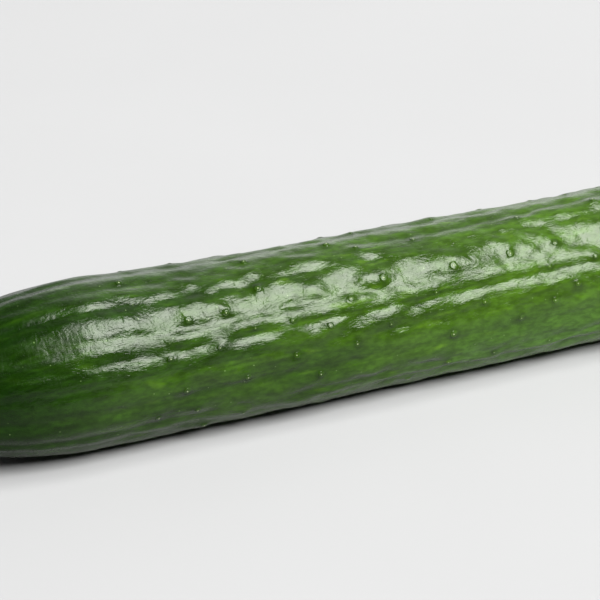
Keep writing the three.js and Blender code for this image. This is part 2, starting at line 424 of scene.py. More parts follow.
    def joint_relief(self, station: np.ndarray, angle: np.ndarray) -> np.ndarray:
        """Gives the depth of the short creases that part each rib of the body into pillows.

        Args:
            station: places along the fruit.
            angle: places round it, following the ribs.

        Returns:
            Height in mm at each place, zero or less.
        """
        place = (angle / self.rib_pitch) % self.rib_count
        rib = np.floor(place)
        across = place - rib - 0.5
        first = self.joint_start * corner_draw(rib, np.zeros_like(rib), self.joint_seed)
        run = station / self.joint_pitch + first
        nearest = np.floor(run + 0.5)
        shift, slant, bow, change = (
            share * corner_draw(nearest, rib, self.joint_seed + number)
            for number, share in enumerate(
                (self.joint_shift, self.joint_slant, self.joint_bow, 1 - self.joint_strength), start=1,
            )
        )
        distance = (run - nearest - shift - slant * across - bow * across**2) * self.joint_pitch
        strength = self.body_share(station) * (self.joint_strength + change)
        depth = self.joint_depth * strength * np.cos(math.pi * across)
        return -depth * np.exp(-((distance / self.joint_width) ** 2))

    def throw_warts(self) -> tuple[Wart, ...]:
        """Throws the warts one after another into cells of the net, none too near to another.

        Returns:
            The warts.
        """
        draw = SeededDraws(self.wart_seed)
        warts: list[Wart] = []
        while len(warts) < self.wart_count:
            row = math.floor(draw() * self.wart_rows)
            column = math.floor(draw() * self.columns)
            size = draw.between(*self.wart_sizes)
            station = self.warts_from + (row + 0.5) * self.row_pitch
            station += self.wart_jitter * (2 * draw() - 1)
            offset = self.wart_jitter * (2 * draw() - 1)
            radius = self.radius_at(station)
            angle = (column + 0.5) * self.column_step + math.degrees(offset / radius)
            if all(self.spacing(station, angle, radius, wart) >= self.wart_spacing for wart in warts):
                near = self.true_angle(np.full(3, station), angle + np.array([-1.0, 0.0, 1.0]))
                stretch = float(near[2] - near[0]) / 2
                size *= min(1.0, stretch)
                warts.append(Wart(row, column, size, station, angle, float(near[1]), stretch))
        return tuple(warts)

    @staticmethod
    def spacing(station: float, angle: float, radius: float, wart: Wart) -> float:
        """Gives the distance in mm over the skin from a place to a wart."""
        around = math.radians(float(turn_between(angle, wart.angle))) * radius
        return math.hypot(station - wart.station, around)

    def near_warts(
        self, station: np.ndarray, turned: np.ndarray, width: float,
    ) -> Iterator[tuple[Wart, np.ndarray, np.ndarray]]:
        """Finds the places that a soft bump round each wart reaches.

        Args:
            station: places along the fruit.
            turned: true angles round it.
            width: width of the bump in mm.

        Returns:
            For each wart: the wart, whether each place is near it, and the squared distances in
            square mm from it to the places that are.
        """
        radius = self.body_radius(station)
        for wart in self.warts:
            near = np.abs(station - wart.station) < self.bump_reach * width
            around = np.radians(turn_between(turned[near], wart.turned)) * radius[near]
            yield wart, near, (station[near] - wart.station) ** 2 + around**2

    def mound_relief(self, station: np.ndarray, turned: np.ndarray) -> np.ndarray:
        """Gives the height of the mounds under the warts, each with a hollow round it.

        Args:
            station: places along the fruit.
            turned: true angles round it.

        Returns:
            Height in mm at each place.
        """
        relief = np.zeros_like(station)
        for wart, near, squared in self.near_warts(station, turned, self.mound_radius):
            reach = squared / self.mound_radius**2
            relief[near] += self.mound_height * wart.size * (1 - reach) * np.exp(-reach)
        return relief

    def relief_share(self, station: np.ndarray, turned: np.ndarray) -> np.ndarray:
        """Gives the share of the relief kept near the ends and over the flat resting spot.

        Args:
            station: places along the fruit.
            turned: true angles round it.

        Returns:
            Share between 0 and 1 at each place.
        """
        stem = smooth((station - self.relief_from) / self.relief_rise)
        blossom = smooth((self.length - station) / self.relief_fade)
        along = (station - self.rest_station) / self.rest_half_length
        across = np.radians(turn_between(turned, UNDERSIDE)) * self.body_radius(station)
        reach = np.hypot(along, across / self.rest_half_width)
        spot = smooth((self.rest_fade[1] - reach) / (self.rest_fade[1] - self.rest_fade[0]))
        return stem * blossom * (1 - spot)

    def skin_relief(self, station: np.ndarray, angle: np.ndarray) -> np.ndarray:
        """Gives the height of the skin above the plain round form, without its warts.

        Args:
            station: places along the fruit.
            angle: places round it, following the ribs.

        Returns:
            Height in mm at each place.
        """
        turned = self.true_angle(station, angle)
        lobes = self.lobe_height * np.cos(self.lobe_count * np.radians(turned - self.lobe_top))
        relief = lobes + self.furrow_relief(station, angle) + self.mound_relief(station, turned)
        relief += self.swelling_relief(station, turned) + self.joint_relief(station, angle)
        low, high = self.stub_ridge_fade
        stub = self.stub_ridge_height * smooth((high - station) / (high - low))
        ridges = stub * np.cos(self.stub_ridges * np.radians(angle))
        return relief * self.relief_share(station, turned) + ridges

    def skin_points(self, station: np.ndarray, angle: np.ndarray, above: np.ndarray) -> np.ndarray:
        """Gives points of the skin in mm; the underside is pressed flat where it meets the floor.

        Args:
            station: places along the fruit.
            angle: places round it, following the ribs.
            above: extra height at each place.

        Returns:
            One row of x, y and z for each place.
        """
        heading, x, y, z = self.centre_line(station)
        reach = self.body_radius(station) + self.skin_relief(station, angle) + above
        turned = np.radians(self.true_angle(station, angle))
        out = np.cos(turned) * reach
        height = np.maximum(z + np.sin(turned) * reach, 0.0)
        return np.stack([x - np.sin(heading) * out, y + np.cos(heading) * out, height], axis=1)

    def end_points(self, station: float, local: np.ndarray) -> np.ndarray:
        """Gives points near one station, for the pieces at the ends.

        Args:
            station: place along the fruit.
            local: one row for each point: along the centre line, to its +Y side, and up, in mm.

        Returns:
            One row of x, y and z for each point.
        """
        heading, x, y, z = (float(value) for value in self.centre_line(np.array(station)))
        along, out, up = local.T
        x_turned = along * math.cos(heading) - out * math.sin(heading)
        y_turned = along * math.sin(heading) + out * math.cos(heading)
        return np.stack([x + x_turned, y + y_turned, z + up], axis=1)


def add_node(
    tree: bpy.types.NodeTree,
    kind: str,
    inputs: dict[str | int, object] | None = None,
    **settings: object,
) -> bpy.types.Node:
    """Adds a node with its settings and links.

    Args:
        tree: node tree that gets the node.
        kind: Blender's name of the node's type.
        inputs: value of each input; a socket is linked, anything else is set.
        settings: properties of the node.

    Returns:
        The new node.
    """
    node = tree.nodes.new(kind)
    for name, value in settings.items():
        setattr(node, name, value)
    for key, value in (inputs or {}).items():
        if isinstance(value, bpy.types.NodeSocket):
            tree.links.new(value, node.inputs[key])
        else:
            node.inputs[key].default_value = value
    return node


def linear(colour: str) -> tuple[float, float, float, float]:
    """Turns a colour from sRGB hex to linear light.

    Args:
        colour: six hex digits.

    Returns:
        Red, green, blue and alpha.
    """
    values = [int(colour[k : k + 2], 16) / 255 for k in (0, 2, 4)]
    # The sRGB curve is straight near black and a power above that
    red, green, blue = (v / 12.92 if v <= 0.04045 else ((v + 0.055) / 1.055) ** 2.4 for v in values)
    return red, green, blue, 1.0


def new_material(name: str) -> tuple[bpy.types.Material, bpy.types.NodeTree, bpy.types.Node]:
    """Makes an empty material.

    Args:
        name: what the real surface is.

    Returns:
        The material, its node tree and its Principled shader, joined to the output.
    """
    material = bpy.data.materials.new(name)
    material.use_nodes = True
    tree = material.node_tree
    tree.nodes.clear()
    shader = add_node(tree, "ShaderNodeBsdfPrincipled")
    add_node(tree, "ShaderNodeOutputMaterial", {"Surface": shader.outputs["BSDF"]})
    return material, tree, shader


def fine_mottling(tree: bpy.types.NodeTree, per_mm: float, detail: float) -> bpy.types.NodeSocket:
    """Lays an even mottling that sits still in its piece.

    Args:
        tree: node tree that gets it.
        per_mm: patches in one millimetre.
        detail: how many finer layers it has.

    Returns:
        Its value at each place, from 0 to 1.
    """
    place = add_node(tree, "ShaderNodeTexCoord").outputs["Object"]
    inputs = {"Vector": place, "Scale": per_mm / MM, "Detail": detail}
    return add_node(tree, "ShaderNodeTexNoise", inputs).outputs["Fac"]


# Where each value of the skin comes out in a node tree
Marks = dict["Mark", bpy.types.NodeSocket]


class Mark(Enum):
    """Values of the skin that its finish reads. All but the station are stored on the mesh."""

    NET = "net"
    # Painted shade round the foot of each wart
    WART = "wart"
    # Painted shade in the bottoms of the furrows
    FURROW_SHADE = "furrow"
    BELLY = "belly"
    STATION = "station"

    def lay(self, tree: bpy.types.NodeTree, marks: Marks) -> bpy.types.NodeSocket:
        """Gives the value itself, which is in the tree already."""
        return marks[self]


@dataclass(frozen=True)
class Mottle:
    """A cloudy pattern drawn out along the skin or round it, in patches of that size in mm.

    A folded one gives how far each place is from thin lines that wander through it.
    """

    length: float
    width: float
    detail: float = 3.0
    warp: float = 0.0
    folded: bool = False
    middle: float = 0.5
    fineness: float = 0.55

    def lay(self, tree: bpy.types.NodeTree, marks: Marks) -> bpy.types.NodeSocket:
        """Lays the pattern.

        Args:
            tree: node tree that gets it.
            marks: values of the skin.

        Returns:
            The pattern's value at each place.
        """
        scale = (1 / self.length, 1 / self.width, 1 / self.width)
        place = add_node(
            tree, "ShaderNodeVectorMath", {0: marks[Mark.NET], 1: scale}, operation="MULTIPLY",
        )
        inputs = {"Vector": place.outputs[0], "Scale": 1.0, "Detail": self.detail}
        inputs |= {"Roughness": self.fineness, "Distortion": self.warp}
        noise = add_node(tree, "ShaderNodeTexNoise", inputs).outputs["Fac"]
        if not self.folded:
            return noise
        offset = add_node(tree, "ShaderNodeMath", {0: noise, 1: self.middle}, operation="SUBTRACT")
        return add_node(tree, "ShaderNodeMath", {0: offset.outputs[0]}, operation="ABSOLUTE").outputs[0]


@dataclass(frozen=True)
class Change:
    """A value that eases from one to another while what it follows goes from start to end."""

    follows: Mark | Mottle
    start: float
    end: float
    first: float = 0.0
    last: float = 1.0

    def lay(self, tree: bpy.types.NodeTree, marks: Marks) -> bpy.types.NodeSocket:
        """Lays the change over what it follows.

        Args:
            tree: node tree that gets it.
            marks: values of the skin.

        Returns:
            The changing value at each place.
        """
        inputs = {"Value": self.follows.lay(tree, marks), "From Min": self.start, "From Max": self.end}
        inputs |= {"To Min": self.first, "To Max": self.last}
        return add_node(
            tree, "ShaderNodeMapRange", inputs, interpolation_type="SMOOTHSTEP",
        ).outputs["Result"]


@dataclass(frozen=True)
class Specks:
    """Small round specks strewn over the skin, one in each cell of that pitch in mm."""

    pitch: float
    radius: float
    edge: tuple[float, float] = (1.5, 0.6)

    def lay(self, tree: bpy.types.NodeTree, marks: Marks) -> bpy.types.NodeSocket:
        """Lays the specks.

        Args:
            tree: node tree that gets them.
            marks: values of the skin.

        Returns:
            1 inside a speck and 0 outside it, with a soft edge.
        """
        cell = add_node(
            tree, "ShaderNodeVectorMath", {0: marks[Mark.NET], "Scale": 1 / self.pitch}, operation="SCALE",
        )
        dots = add_node(tree, "ShaderNodeTexVoronoi", {"Vector": cell.outputs[0], "Scale": 1.0})
        outer, inner = (share * self.radius / self.pitch for share in self.edge)
        return add_node(
            tree, "ShaderNodeMapRange",
            {"Value": dots.outputs["Distance"], "From Min": outer, "From Max": inner},
            interpolation_type="SMOOTHSTEP",
        ).outputs["Result"]


@dataclass(frozen=True)
class Spread:
    """How much of something lies at each place of the skin: an amount times each of its parts."""

    name: str
    amount: float
    parts: tuple[Mark | Mottle | Change | Specks, ...]

    def lay(self, tree: bpy.types.NodeTree, marks: Marks) -> bpy.types.NodeSocket:
        """Lays the parts and multiplies them.

        Args:
            tree: node tree that gets them.
            marks: values of the skin.

        Returns:
            The amount at each place.
        """
        total = self.amount
        for part in self.parts:
            factors = {0: total, 1: part.lay(tree, marks)}
            product = add_node(tree, "ShaderNodeMath", factors, label=self.name, operation="MULTIPLY")
            total = product.outputs[0]
        return total


@dataclass(frozen=True)
class Tint(Spread):
    """One colour of the skin, laid over those before it where it spreads."""

    colour: str


# Lines and flecks are faint on the neck
OFF_NECK = Change(Mark.STATION, 40.0, 120.0, 0.3, 1.0)


@dataclass(frozen=True)
class WaxedSkin:
    """Cucumber skin, grown with a thin natural wax over deep green rind.

    The eye sees a clear gloss broken by fine grain, a green that is darkest on the neck and
    paler towards the blossom, soft lengthwise mottling, and thin yellow-green flecks. The bottoms
    of the furrows and the feet of the warts carry painted shade, and the underside a pale tint
    that is partly painted reflection of the floor. The finest grain is drawn about twice as
    coarse as the real one, so that it shows. The amount of a relief is its height in mm.
    """

    name: str = "cucumber_skin_grown_waxed"
    rind: str = "0c1e02"
    tints: tuple[Tint, ...] = (
        Tint("streaks", 1.0, (Change(Mottle(9.0, 2.6), 0.34, 0.68),), "162e04"),
        Tint(
            "lighter_patches", 1.0,
            (
                Change(Mottle(30.0, 9.0, detail=2.0), 0.34, 0.68),
                Change(Mark.STATION, 30.0, 190.0, 0.08, 0.7),
            ),
            "2f490b",
        ),
        Tint("lighter_to_the_blossom", 0.8, (Change(Mark.STATION, 30.0, 250.0),), "2f490b"),
        # Paler, bluer underside towards the blossom: partly the fruit's own pale ground spot, partly
        # painted reflection of the floor
        Tint("pale_underside_and_painted_reflection", 1.0, (Mark.BELLY, Change(Mark.STATION, 115.0, 205.0, 0.12, 0.85)), "3f5f23"),
        Tint("pale_lines", 0.4, (Change(Mottle(70.0, 3.0, detail=1.0), 0.54, 0.78), OFF_NECK), "3c5c12"),
        Tint("flecks", 0.4, (Change(Mottle(9.0, 2.6, detail=1.0), 0.6, 0.82), OFF_NECK), "46640f"),
        # Painted shade: the bottoms of the furrows are darkened towards the rind colour
        Tint("painted_furrow_shade", 0.15, (Mark.FURROW_SHADE,), "0c1e02"),
        # Painted shade: a dark ring round the foot of each wart, towards the rind colour
        Tint("painted_shade_at_wart_feet", 0.36, (Mark.WART,), "0c1e02"),
        Tint("dark_neck", 0.8, (Change(Mark.STATION, 72.0, 24.0),), "061a01"),
        Tint("specks", 0.6, (Specks(3.3, 0.16),), "647a4a"),
    )
    shade: Spread = Spread(
        "dapple", 1.0,
        (
            Change(Mottle(2.6, 1.3, detail=2.0), 0.3, 0.7, 0.78, 1.22),
            Change(Mottle(12.0, 6.0, detail=2.0), 0.3, 0.7, 0.86, 1.14),
        ),
    )
    gloss: Change = Change(Mottle(6.0, 3.0), 0.3, 0.7, 0.18, 0.27)
    duller_neck: Change = Change(Mark.STATION, 62.0, 30.0, 0.0, 0.08)
    sheen: Spread = Spread(
        "wax_sheen", 1.0,
        (Change(Mark.BELLY, 0.0, 1.0, 0.5, 0.3), Change(Mark.STATION, 36.0, 68.0, 0.55, 1.0)),
    )
    sheen_tint: str = "f9fff2"
    ior: float = 1.38
    reliefs: tuple[Spread, ...] = (
        Spread(
            "grain", 0.16,
            (Mottle(3.0, 1.8, detail=2.5, warp=0.6), Change(Mottle(9.0, 5.0), 0.35, 0.6, 0.4, 1.0)),
        ),
        Spread(
            "strokes_across_the_neck", 0.055,
            (Mottle(1.3, 4.0, detail=1.0, warp=0.7), Change(Mark.STATION, 100.0, 70.0)),
        ),
        Spread(
            "thin_creases", 0.022,
            (
                Change(Mottle(5.0, 1.9, detail=1.0, warp=0.8, folded=True), 0.0, 0.06),
                Change(Mottle(9.0, 5.0), 0.6, 0.35, 0.2, 1.0),
                Change(Mark.STATION, 40.0, 68.0, 0.1, 1.0),
            ),
        ),
        Spread(
            "fine_brush_marks", 0.06,
            (Mottle(1.3, 0.5, detail=1.0, warp=0.8), Change(Mark.STATION, 38.0, 75.0, 0.35, 1.0)),
        ),
    )

    def build(self) -> bpy.types.Material:
        """Makes the material from the skin's own places, which run along and round it.

        Returns:
            The material.
        """
        material, tree, shader = new_material(self.name)
        marks = {
            mark: add_node(tree, "ShaderNodeAttribute", attribute_name=mark.value).outputs["Fac"]
            for mark in (Mark.WART, Mark.FURROW_SHADE, Mark.BELLY)
        }
        net = add_node(tree, "ShaderNodeAttribute", attribute_name=Mark.NET.value).outputs["Vector"]
        marks[Mark.NET] = net
        marks[Mark.STATION] = add_node(tree, "ShaderNodeSeparateXYZ", {"Vector": net}).outputs["X"]
        colour = linear(self.rind)
        for tint in self.tints:
            inputs = {SHARE: tint.lay(tree, marks), UNDER: colour, OVER: linear(tint.colour)}
            mix = add_node(tree, "ShaderNodeMix", inputs, label=tint.name, data_type="RGBA")
            colour = mix.outputs[MIXED]
        shaded = add_node(
            tree, "ShaderNodeVectorMath", {0: colour, "Scale": self.shade.lay(tree, marks)},
            operation="SCALE",
        )
        roughness = add_node(
            tree, "ShaderNodeMath",
            {0: self.gloss.lay(tree, marks), 1: self.duller_neck.lay(tree, marks)}, operation="ADD",
        )
        tree.links.new(shaded.outputs[0], shader.inputs["Base Color"])
        tree.links.new(roughness.outputs[0], shader.inputs["Roughness"])
        tree.links.new(self.sheen.lay(tree, marks), shader.inputs["Specular IOR Level"])
        shader.inputs["Specular Tint"].default_value = linear(self.sheen_tint)
        shader.inputs["IOR"].default_value = self.ior
        below: dict[str | int, object] = {}
        for relief in self.reliefs:
            inputs = {"Height": relief.lay(tree, marks), "Distance": MM, "Strength": 1.0} | below
            below = {"Normal": add_node(tree, "ShaderNodeBump", inputs, label=relief.name).outputs[0]}
        tree.links.new(below["Normal"], shader.inputs["Normal"])
        return material


@dataclass(frozen=True)
class DryTip:
    """Pale dry tip of a wart, left where its spine broke off: matt, straw green."""

    name: str = "wart_tip_dry_spine_base"
    pale: str = "98a27a"
    brown: str = "5a6742"
    roughness: float = 0.55
    patches_per_mm: float = 2.6
    detail: float = 2.0

    def build(self) -> bpy.types.Material:
        """Makes the material with a fine dry mottling.

        Returns:
            The material.
        """
        material, tree, shader = new_material(self.name)
        share = fine_mottling(tree, self.patches_per_mm, self.detail)
        inputs = {SHARE: share, UNDER: linear(self.brown), OVER: linear(self.pale)}
        colour = add_node(tree, "ShaderNodeMix", inputs, data_type="RGBA")
        tree.links.new(colour.outputs[MIXED], shader.inputs["Base Color"])
        shader.inputs["Roughness"].default_value = self.roughness
        return material


class CutMark(Enum):
    """Values of the cut face that its finish reads."""

    RADIUS = "radius"
    BUNDLE = "bundle"


@dataclass(frozen=True)
class CutStemFibre:
    """Cut face of a stem, sliced and dried: pale fibre with a ring of darker bundles."""

    name: str = "stem_cut_dried_fibre"
    pith: str = "c3c79a"
    bundle: str = "7d8a4a"
    rim: str = "5d7433"
    rim_from: float = 0.74
    rim_full: float = 0.97
    roughness: float = 0.7
    fibres_per_mm: float = 1.9
    detail: float = 4.0
    mottling: tuple[float, float] = (0.3, 0.7)
    shades: tuple[float, float] = (0.72, 1.08)
    fuzz_height: float = 0.15
    fuzz_strength: float = 0.8

    def build(self) -> bpy.types.Material:
        """Makes the material from the face's own radius and bundles.

        Returns:
            The material.
        """
        material, tree, shader = new_material(self.name)
        radius, bundle = (
            add_node(tree, "ShaderNodeAttribute", attribute_name=mark.value).outputs["Fac"]
            for mark in CutMark
        )
        fibre = fine_mottling(tree, self.fibres_per_mm, self.detail)
        rim = add_node(
            tree, "ShaderNodeMapRange",
            {"Value": radius, "From Min": self.rim_from, "From Max": self.rim_full},
            interpolation_type="SMOOTHSTEP",
        ).outputs["Result"]
        colour = linear(self.pith)
        for share, over in ((bundle, self.bundle), (rim, self.rim)):
            inputs = {SHARE: share, UNDER: colour, OVER: linear(over)}
            colour = add_node(tree, "ShaderNodeMix", inputs, data_type="RGBA").outputs[MIXED]
        inputs = {"Value": fibre, "From Min": self.mottling[0], "From Max": self.mottling[1]}
        inputs |= {"To Min": self.shades[0], "To Max": self.shades[1]}
        shade = add_node(tree, "ShaderNodeMapRange", inputs).outputs["Result"]
        shaded = add_node(tree, "ShaderNodeVectorMath", {0: colour, "Scale": shade}, operation="SCALE")
        tree.links.new(shaded.outputs[0], shader.inputs["Base Color"])
        shader.inputs["Roughness"].default_value = self.roughness
        inputs = {"Height": fibre, "Distance": self.fuzz_height * MM, "Strength": self.fuzz_strength}
        bump = add_node(tree, "ShaderNodeBump", inputs)
        tree.links.new(bump.outputs[0], shader.inputs["Normal"])
        return material


@dataclass(frozen=True)
class CorkyScar:
    """Scar where the blossom dropped off, healed over with cork: matt, brown, rough."""

    name: str = "blossom_scar_healed_cork"
    light: str = "9a8a58"
    dark: str = "4d4222"
    dark_to: float = 0.36
    light_from: float = 0.64
    roughness: float = 0.85
    crumbs_per_mm: float = 1.4
    detail: float = 5.0
    crumb_height: float = 0.3

    def build(self) -> bpy.types.Material:
        """Makes the material with a crumbly mottling.

        Returns:
            The material.
        """
        material, tree, shader = new_material(self.name)
        crumbs = fine_mottling(tree, self.crumbs_per_mm, self.detail)
        inputs = {"Value": crumbs, "From Min": self.dark_to, "From Max": self.light_from}
        share = add_node(tree, "ShaderNodeMapRange", inputs).outputs["Result"]
        inputs = {SHARE: share, UNDER: linear(self.dark), OVER: linear(self.light)}
        colour = add_node(tree, "ShaderNodeMix", inputs, data_type="RGBA")
        tree.links.new(colour.outputs[MIXED], shader.inputs["Base Color"])
        shader.inputs["Roughness"].default_value = self.roughness
        inputs = {"Height": crumbs, "Distance": self.crumb_height * MM, "Strength": 1.0}
        bump = add_node(tree, "ShaderNodeBump", inputs)
        tree.links.new(bump.outputs[0], shader.inputs["Normal"])
        return material


@dataclass(frozen=True)
class PaintedBoard:
    """Matt white painted studio board: plain, with no sheen."""

    name: str = "board_painted_matt_white"
    colour: str = "9a9a9a"
    roughness: float = 0.9
    patches_per_mm: float = 0.009
    detail: float = 2.0
    mottling: tuple[float, float] = (0.2, 0.8)
    shades: tuple[float, float] = (0.985, 1.015)

    def build(self) -> bpy.types.Material:
        """Makes the material with a faint roller mottling.

        Returns:
            The material.
        """
        material, tree, shader = new_material(self.name)
        paint = fine_mottling(tree, self.patches_per_mm, self.detail)
        inputs = {"Value": paint, "From Min": self.mottling[0], "From Max": self.mottling[1]}
        inputs |= {"To Min": self.shades[0], "To Max": self.shades[1]}
        shade = add_node(tree, "ShaderNodeMapRange", inputs).outputs["Result"]
        inputs = {0: linear(self.colour)[:3], "Scale": shade}
        shaded = add_node(tree, "ShaderNodeVectorMath", inputs, operation="SCALE")
        tree.links.new(shaded.outputs[0], shader.inputs["Base Color"])
        shader.inputs["Roughness"].default_value = self.roughness
        return material


def new_piece(name: str, points: np.ndarray, faces: Faces) -> bpy.types.Object:
    """Makes a smooth-shaded mesh object from points in mm.

    Args:
        name: name of the piece.
        points: one row of x, y and z for each vertex, in mm.
        faces: vertex numbers of each face, turning outwards.

    Returns:
        The object, linked to the scene.
    """
    mesh = bpy.data.meshes.new(name)
    mesh.from_pydata((points * MM).tolist(), [], faces)
    mesh.shade_smooth()
    piece = bpy.data.objects.new(name, mesh)
    bpy.context.scene.collection.objects.link(piece)
    return piece


def add_values(piece: bpy.types.Object, name: str, values: np.ndarray) -> None:
    """Stores one number or vector for each vertex, for the material to read.

    Args:
        piece: object that gets the values.
        name: name that the material asks for.
        values: one number, or one row of three, for each vertex.
    """
    vector = values.ndim == 2
    kind = "FLOAT_VECTOR" if vector else "FLOAT"
    attribute = piece.data.attributes.new(name, kind, "POINT")
    attribute.data.foreach_set("vector" if vector else "value", values.astype(np.float32).ravel())


def place_piece(piece: bpy.types.Object, material: bpy.types.Material, slot: Slot) -> None:
    """Dresses a piece and makes it part of the fruit.

    Args:
        piece: object to dress.
        material: its finish.
        slot: the record's slot of that finish; not used.
    """
    piece.data.materials.append(material)
    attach(piece, BODY)
    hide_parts(NODE)
    LOG.info("%s: %d vertices, %d faces", piece.name, len(piece.data.vertices), len(piece.data.polygons))


def ring_turns(sides: int) -> np.ndarray:
    """Gives the turn of each vertex of a round ring, in radians."""
    return np.arange(sides) / sides * 2 * math.pi


def band_faces(outer: np.ndarray, inner: np.ndarray) -> Faces:
    """Gives the faces of four between two closed rings.

    Args:
        outer: vertex numbers of the first ring.
        inner: vertex numbers of the second, as many.

    Returns:
        One face for each side.
    """
    corners = [outer, np.roll(outer, -1), np.roll(inner, -1), inner]
    return list(map(tuple, np.stack(corners, axis=1).tolist()))


def fan_faces(ring: np.ndarray, middle: int) -> Faces:
    """Gives the faces of three that join a closed ring to one vertex.

    Args:
        ring: vertex numbers of the ring.
        middle: number of that vertex.

    Returns:
        One face for each side.
    """
    return [(a, b, middle) for a, b in zip(ring.tolist(), np.roll(ring, -1).tolist())]


def button_faces(rings: int, sides: int, start: int = 0, mirrored: bool = False) -> Faces:
    """Gives the faces of a closed button, made of rings that lie one inside the other.

    Args:
        rings: number of rings; the middle of the top and of the back come after them.
        sides: vertices of each ring.
        start: number of the first vertex of the outer ring.
        mirrored: whether the button faces the other way.

    Returns:
        The faces, turning outwards.
    """
    ring = start + (np.arange(sides)[::-1] if mirrored else np.arange(sides))
    top = start + rings * sides
    faces = fan_faces(ring[::-1], top + 1)
    for _ in range(rings - 1):
        faces.extend(band_faces(ring, ring + sides))
        ring = ring + sides
    return faces + fan_faces(ring, top)


